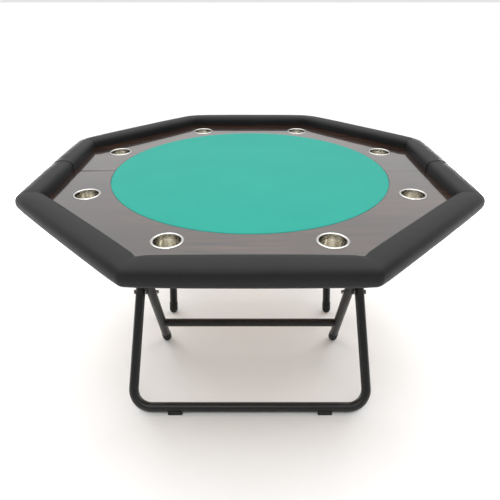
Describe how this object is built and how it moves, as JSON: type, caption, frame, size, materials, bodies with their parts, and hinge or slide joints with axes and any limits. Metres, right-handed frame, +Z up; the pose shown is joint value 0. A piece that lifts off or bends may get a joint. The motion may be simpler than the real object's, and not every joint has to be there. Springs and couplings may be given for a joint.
{
  "type": "folding octagonal card table",
  "caption": "Octagonal folding card table with a padded rail, round felt panel, wood racetrack with steel cup holders, and scissor-leg trestles.",
  "frame": {"origin": "on the floor under the middle of the table", "axes": "+Z up; the seam between the two halves lies along X; the front half is on the -Y side"},
  "size_m": [1.37, 1.37, 0.7172],
  "materials": {
    "plywood": "matte",
    "dark_veneer": "gloss",
    "black_vinyl": "satin",
    "cup_steel": "satin",
    "felt": "matte",
    "black_tube": "satin",
    "zinc_steel": "satin",
    "black_rubber": "matte",
    "black_plastic": "satin"
  },
  "bodies": {
    "front_half": {"front_deck": "plywood", "front_racetrack": "dark_veneer", "front_rail_core": "plywood", "front_rail_pad": "black_vinyl", "front_cup_holder_1": "cup_steel", "front_cup_holder_2": "cup_steel", "front_cup_holder_3": "cup_steel", "front_cup_holder_4": "cup_steel", "front_bearing_blocks": "black_plastic", "front_hook_catches": "zinc_steel", "front_bracket_screws": "zinc_steel", "front_rail_screws": "zinc_steel", "front_seam_magnets": "black_plastic", "seam_dowels": "zinc_steel"},
    "back_half": {"back_deck": "plywood", "back_racetrack": "dark_veneer", "back_rail_core": "plywood", "back_rail_pad": "black_vinyl", "back_cup_holder_1": "cup_steel", "back_cup_holder_2": "cup_steel", "back_cup_holder_3": "cup_steel", "back_cup_holder_4": "cup_steel", "back_bearing_blocks": "black_plastic", "back_hook_catches": "zinc_steel", "back_bracket_screws": "zinc_steel", "back_rail_screws": "zinc_steel", "back_seam_keepers": "zinc_steel"},
    "front_outer_frame": {"front_hinge_tube": "black_tube", "front_hinge_plugs": "black_plastic", "front_outer_leg_left": "black_tube", "front_outer_leg_right": "black_tube", "front_floor_bar": "black_tube", "front_floor_glides": "black_rubber", "front_pivot_bolts": "zinc_steel", "front_pivot_spacers": "zinc_steel", "front_pivot_nuts": "zinc_steel"},
    "front_inner_frame": {"front_inner_leg_left": "black_tube", "front_inner_leg_right": "black_tube", "front_crossbar": "black_tube", "front_foot_caps": "black_rubber", "front_top_caps": "black_plastic", "front_catch_pins": "zinc_steel"},
    "back_outer_frame": {"back_hinge_tube": "black_tube", "back_hinge_plugs": "black_plastic", "back_outer_leg_left": "black_tube", "back_outer_leg_right": "black_tube", "back_floor_bar": "black_tube", "back_floor_glides": "black_rubber", "back_pivot_bolts": "zinc_steel", "back_pivot_spacers": "zinc_steel", "back_pivot_nuts": "zinc_steel"},
    "back_inner_frame": {"back_inner_leg_left": "black_tube", "back_inner_leg_right": "black_tube", "back_crossbar": "black_tube", "back_foot_caps": "black_rubber", "back_top_caps": "black_plastic", "back_catch_pins": "zinc_steel"},
    "felt_panel": {"felt_board": "plywood", "felt_cloth": "felt"}
  },
  "joints": [
    {"name": "halves_slide", "type": "slide", "parent": "front_half", "child": "back_half", "axis": [0, 1, 0], "range_m": [0, 0.25]},
    {"name": "felt_panel_lift", "type": "slide", "parent": "front_half", "child": "felt_panel", "axis": [0, 0, 1], "range_m": [0, 0.12]},
    {"name": "front_leg_fold", "type": "hinge", "parent": "front_half", "child": "front_outer_frame", "pos_m": [0, -0.03, 0.646], "axis": [-1, 0, 0], "range_deg": [0, 50]},
    {"name": "front_scissor_pivot", "type": "hinge", "parent": "front_outer_frame", "child": "front_inner_frame", "pos_m": [0, -0.235, 0.338], "axis": [-1, 0, 0], "range_deg": [-113, 0]},
    {"name": "back_leg_fold", "type": "hinge", "parent": "back_half", "child": "back_outer_frame", "pos_m": [0, 0.03, 0.646], "axis": [1, 0, 0], "range_deg": [0, 50]},
    {"name": "back_scissor_pivot", "type": "hinge", "parent": "back_outer_frame", "child": "back_inner_frame", "pos_m": [0, 0.235, 0.338], "axis": [1, 0, 0], "range_deg": [-113, 0]}
  ],
  "couplings": [
    {"joint": "front_scissor_pivot", "follows": "front_leg_fold", "ratio": -2.25},
    {"joint": "back_scissor_pivot", "follows": "back_leg_fold", "ratio": -2.25}
  ]
}
